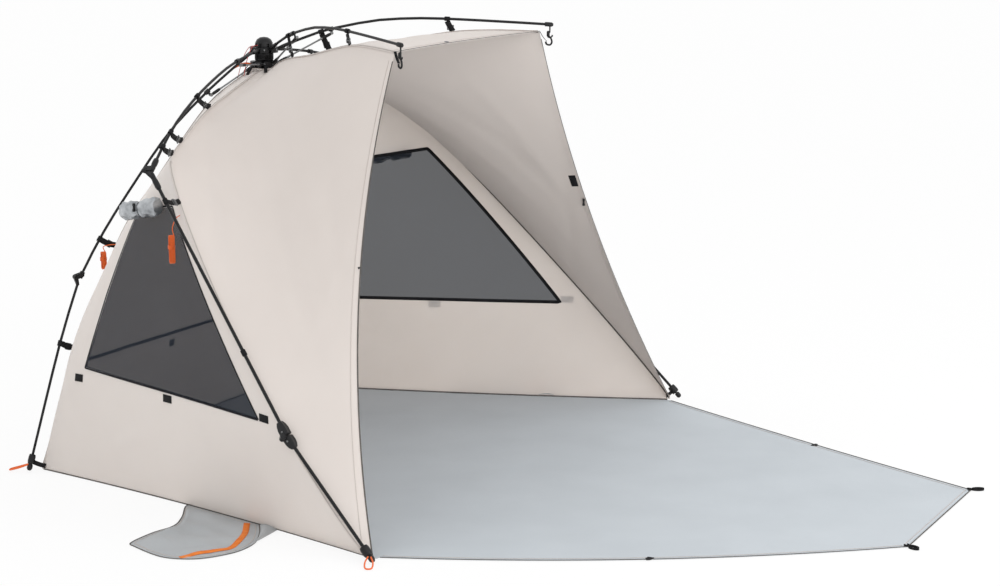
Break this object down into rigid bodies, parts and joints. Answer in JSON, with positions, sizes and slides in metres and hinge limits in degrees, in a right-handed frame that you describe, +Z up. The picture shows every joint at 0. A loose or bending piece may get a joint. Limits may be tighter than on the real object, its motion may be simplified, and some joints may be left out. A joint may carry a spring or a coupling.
{
  "type": "pop up tent",
  "caption": "Pop-up beach shelter with a folding umbrella-hub pole frame, beige canopy, mesh side windows, grey floor and fold-out porch",
  "frame": {"origin": "middle of the bounding box on the ground, not counting the cords", "axes": "+Z up; -Y is the open front with the porch; +X is the right-hand side seen from behind, looking out"},
  "size_m": [2.906, 3.0218, 1.5177],
  "materials": {
    "black_plastic": "moulded black plastic, fine matte grain",
    "pole_black": "black coated pole, satin",
    "strut_steel": "grey steel rod, satin",
    "canopy_cloth": "coated polyester, warm grey-beige",
    "floor_cloth": "coated floor cloth, pale blue-grey",
    "mesh_cloth": "fine dark window mesh",
    "flap_cloth": "silver-grey coated cloth",
    "pocket_cloth": "pale grey cloth",
    "black_webbing": "black webbing",
    "orange_cord": "braided orange cord"
  },
  "bodies": {
    "tent": {"lower_hub": "black_plastic", "hub_patch": "black_webbing", "roof_panel": "canopy_cloth", "rear_wall": "canopy_cloth", "floor_sheet": "floor_cloth", "front_panel_left": "canopy_cloth", "side_wall_left": "canopy_cloth", "window_mesh_left": "mesh_cloth", "window_roll_left": "flap_cloth", "sand_pocket_left": "pocket_cloth", "front_panel_right": "canopy_cloth", "side_wall_right": "canopy_cloth", "window_mesh_right": "mesh_cloth", "window_roll_right": "flap_cloth", "sand_pocket_right": "pocket_cloth", "guy_line_front": "orange_cord", "guy_line_rear": "orange_cord"},
    "hub_slider": {"upper_hub": "black_plastic", "pull_cord": "orange_cord"},
    "porch": {"porch_sheet": "floor_cloth", "porch_loop_left": "black_webbing", "porch_loop_right": "black_webbing"},
    "front_arm_left": {"front_arm_left": "pole_black", "elbow_fork_left": "black_plastic", "strut_collar_front_left": "black_plastic"},
    "strut_front_left": {"strut_front_left": "strut_steel"},
    "rear_arm_left": {"rear_leg_upper_left": "pole_black", "rear_fork_left": "black_plastic", "strut_collar_rear_left": "black_plastic"},
    "strut_rear_left": {"strut_rear_left": "strut_steel"},
    "awning_arm_left": {"awning_pole_left": "pole_black", "awning_tip_left": "black_plastic", "strut_collar_awning_left": "black_plastic"},
    "strut_awning_left": {"strut_awning_left": "strut_steel"},
    "front_leg_left": {"elbow_ferrule_left": "black_plastic", "front_leg_upper_left": "pole_black", "knee_fork_left": "black_plastic"},
    "front_shin_left": {"front_leg_lower_left": "pole_black", "front_foot_left": "black_plastic"},
    "rear_shin_left": {"rear_leg_lower_left": "pole_black", "rear_foot_left": "black_plastic"},
    "front_arm_right": {"front_arm_right": "pole_black", "elbow_fork_right": "black_plastic", "strut_collar_front_right": "black_plastic"},
    "strut_front_right": {"strut_front_right": "strut_steel"},
    "rear_arm_right": {"rear_leg_upper_right": "pole_black", "rear_fork_right": "black_plastic", "strut_collar_rear_right": "black_plastic"},
    "strut_rear_right": {"strut_rear_right": "strut_steel"},
    "awning_arm_right": {"awning_pole_right": "pole_black", "awning_tip_right": "black_plastic", "strut_collar_awning_right": "black_plastic"},
    "strut_awning_right": {"strut_awning_right": "strut_steel"},
    "front_leg_right": {"elbow_ferrule_right": "black_plastic", "front_leg_upper_right": "pole_black", "knee_fork_right": "black_plastic"},
    "front_shin_right": {"front_leg_lower_right": "pole_black", "front_foot_right": "black_plastic"},
    "rear_shin_right": {"rear_leg_lower_right": "pole_black", "rear_foot_right": "black_plastic"}
  },
  "joints": [
    {"name": "fold", "type": "slide", "parent": "tent", "child": "hub_slider", "axis": [0, 0, 1], "range_m": [0, 0.355], "deforming": ["roof_panel", "rear_wall", "floor_sheet", "front_panel_left", "side_wall_left", "window_mesh_left", "window_roll_left", "sand_pocket_left", "front_panel_right", "side_wall_right", "window_mesh_right", "window_roll_right", "sand_pocket_right", "guy_line_front", "guy_line_rear"]},
    {"name": "porch_lift", "type": "hinge", "parent": "tent", "child": "porch", "pos_m": [0, -0.06961, 0.003], "axis": [-1, 0, 0], "range_deg": [0, 97]},
    {"name": "front_arm_fold_left", "type": "hinge", "parent": "hub_slider", "child": "front_arm_left", "pos_m": [-0.03939, 1.01545, 1.408], "axis": [0.1736, -0.9848, 0], "range_deg": [0, 64.96]},
    {"name": "strut_front_swing_left", "type": "hinge", "parent": "tent", "child": "strut_front_left", "pos_m": [-0.03714, 1.00265, 1.358], "axis": [-0.1736, 0.9848, 0], "range_deg": [0, 71.07]},
    {"name": "rear_arm_fold_left", "type": "hinge", "parent": "hub_slider", "child": "rear_arm_left", "pos_m": [-0.03429, 1.043, 1.408], "axis": [-0.515, -0.8572, 0], "range_deg": [0, 29.64]},
    {"name": "strut_rear_swing_left", "type": "hinge", "parent": "tent", "child": "strut_rear_left", "pos_m": [-0.04098, 1.03185, 1.358], "axis": [0.515, 0.8572, 0], "range_deg": [0, 96.38]},
    {"name": "awning_arm_fold_left", "type": "hinge", "parent": "hub_slider", "child": "awning_arm_left", "pos_m": [-0.02205, 0.98902, 1.408], "axis": [0.8344, -0.5512, 0], "range_deg": [0, 83.42]},
    {"name": "strut_awning_swing_left", "type": "hinge", "parent": "tent", "child": "strut_awning_left", "pos_m": [-0.0112, 0.98185, 1.358], "axis": [-0.8344, 0.5512, 0], "range_deg": [0, 41.89]},
    {"name": "elbow_fold_left", "type": "hinge", "parent": "front_arm_left", "child": "front_leg_left", "pos_m": [-0.98653, 0.86196, 1.09997], "axis": [0.09, 0.753, -0.6519], "range_deg": [0, 218.85]},
    {"name": "knee_fold_left", "type": "hinge", "parent": "front_leg_left", "child": "front_shin_left", "pos_m": [-1.202, 0.23944, 0.34177], "axis": [0.4574, 0.6136, -0.6436], "range_deg": [0, 167.94]},
    {"name": "rear_knee_fold_left", "type": "hinge", "parent": "rear_arm_left", "child": "rear_shin_left", "pos_m": [-0.63333, 1.40294, 0.65974], "axis": [0.515, 0.8572, 0], "range_deg": [0, 192.44]},
    {"name": "front_arm_fold_right", "type": "hinge", "parent": "hub_slider", "child": "front_arm_right", "pos_m": [0.03939, 1.01545, 1.408], "axis": [0.1736, 0.9848, 0], "range_deg": [0, 64.96]},
    {"name": "strut_front_swing_right", "type": "hinge", "parent": "tent", "child": "strut_front_right", "pos_m": [0.03714, 1.00265, 1.358], "axis": [-0.1736, -0.9848, 0], "range_deg": [0, 71.07]},
    {"name": "rear_arm_fold_right", "type": "hinge", "parent": "hub_slider", "child": "rear_arm_right", "pos_m": [0.03429, 1.043, 1.408], "axis": [-0.515, 0.8572, 0], "range_deg": [0, 29.64]},
    {"name": "strut_rear_swing_right", "type": "hinge", "parent": "tent", "child": "strut_rear_right", "pos_m": [0.04098, 1.03185, 1.358], "axis": [0.515, -0.8572, 0], "range_deg": [0, 96.38]},
    {"name": "awning_arm_fold_right", "type": "hinge", "parent": "hub_slider", "child": "awning_arm_right", "pos_m": [0.02205, 0.98902, 1.408], "axis": [0.8344, 0.5512, 0], "range_deg": [0, 83.42]},
    {"name": "strut_awning_swing_right", "type": "hinge", "parent": "tent", "child": "strut_awning_right", "pos_m": [0.0112, 0.98185, 1.358], "axis": [-0.8344, -0.5512, 0], "range_deg": [0, 41.89]},
    {"name": "elbow_fold_right", "type": "hinge", "parent": "front_arm_right", "child": "front_leg_right", "pos_m": [0.98653, 0.86196, 1.09997], "axis": [0.09, -0.753, 0.6519], "range_deg": [0, 218.85]},
    {"name": "knee_fold_right", "type": "hinge", "parent": "front_leg_right", "child": "front_shin_right", "pos_m": [1.202, 0.23944, 0.34177], "axis": [0.4574, -0.6136, 0.6436], "range_deg": [0, 167.94]},
    {"name": "rear_knee_fold_right", "type": "hinge", "parent": "rear_arm_right", "child": "rear_shin_right", "pos_m": [0.63333, 1.40294, 0.65974], "axis": [0.515, -0.8572, 0], "range_deg": [0, 192.44]}
  ],
  "couplings": [
    {"joint": "front_arm_fold_left", "follows": "fold", "rad_per_m": 3.1936},
    {"joint": "strut_front_swing_left", "follows": "fold", "rad_per_m": 3.4943},
    {"joint": "rear_arm_fold_left", "follows": "fold", "rad_per_m": 1.4573},
    {"joint": "strut_rear_swing_left", "follows": "fold", "rad_per_m": 4.7383},
    {"joint": "awning_arm_fold_left", "follows": "fold", "rad_per_m": 4.101},
    {"joint": "strut_awning_swing_left", "follows": "fold", "rad_per_m": 2.0596},
    {"joint": "elbow_fold_left", "follows": "fold", "rad_per_m": 10.759},
    {"joint": "knee_fold_left", "follows": "fold", "rad_per_m": 8.2566},
    {"joint": "rear_knee_fold_left", "follows": "fold", "rad_per_m": 9.4609},
    {"joint": "front_arm_fold_right", "follows": "fold", "rad_per_m": 3.1936},
    {"joint": "strut_front_swing_right", "follows": "fold", "rad_per_m": 3.4943},
    {"joint": "rear_arm_fold_right", "follows": "fold", "rad_per_m": 1.4573},
    {"joint": "strut_rear_swing_right", "follows": "fold", "rad_per_m": 4.7383},
    {"joint": "awning_arm_fold_right", "follows": "fold", "rad_per_m": 4.101},
    {"joint": "strut_awning_swing_right", "follows": "fold", "rad_per_m": 2.0596},
    {"joint": "elbow_fold_right", "follows": "fold", "rad_per_m": 10.759},
    {"joint": "knee_fold_right", "follows": "fold", "rad_per_m": 8.2566},
    {"joint": "rear_knee_fold_right", "follows": "fold", "rad_per_m": 9.4609}
  ]
}
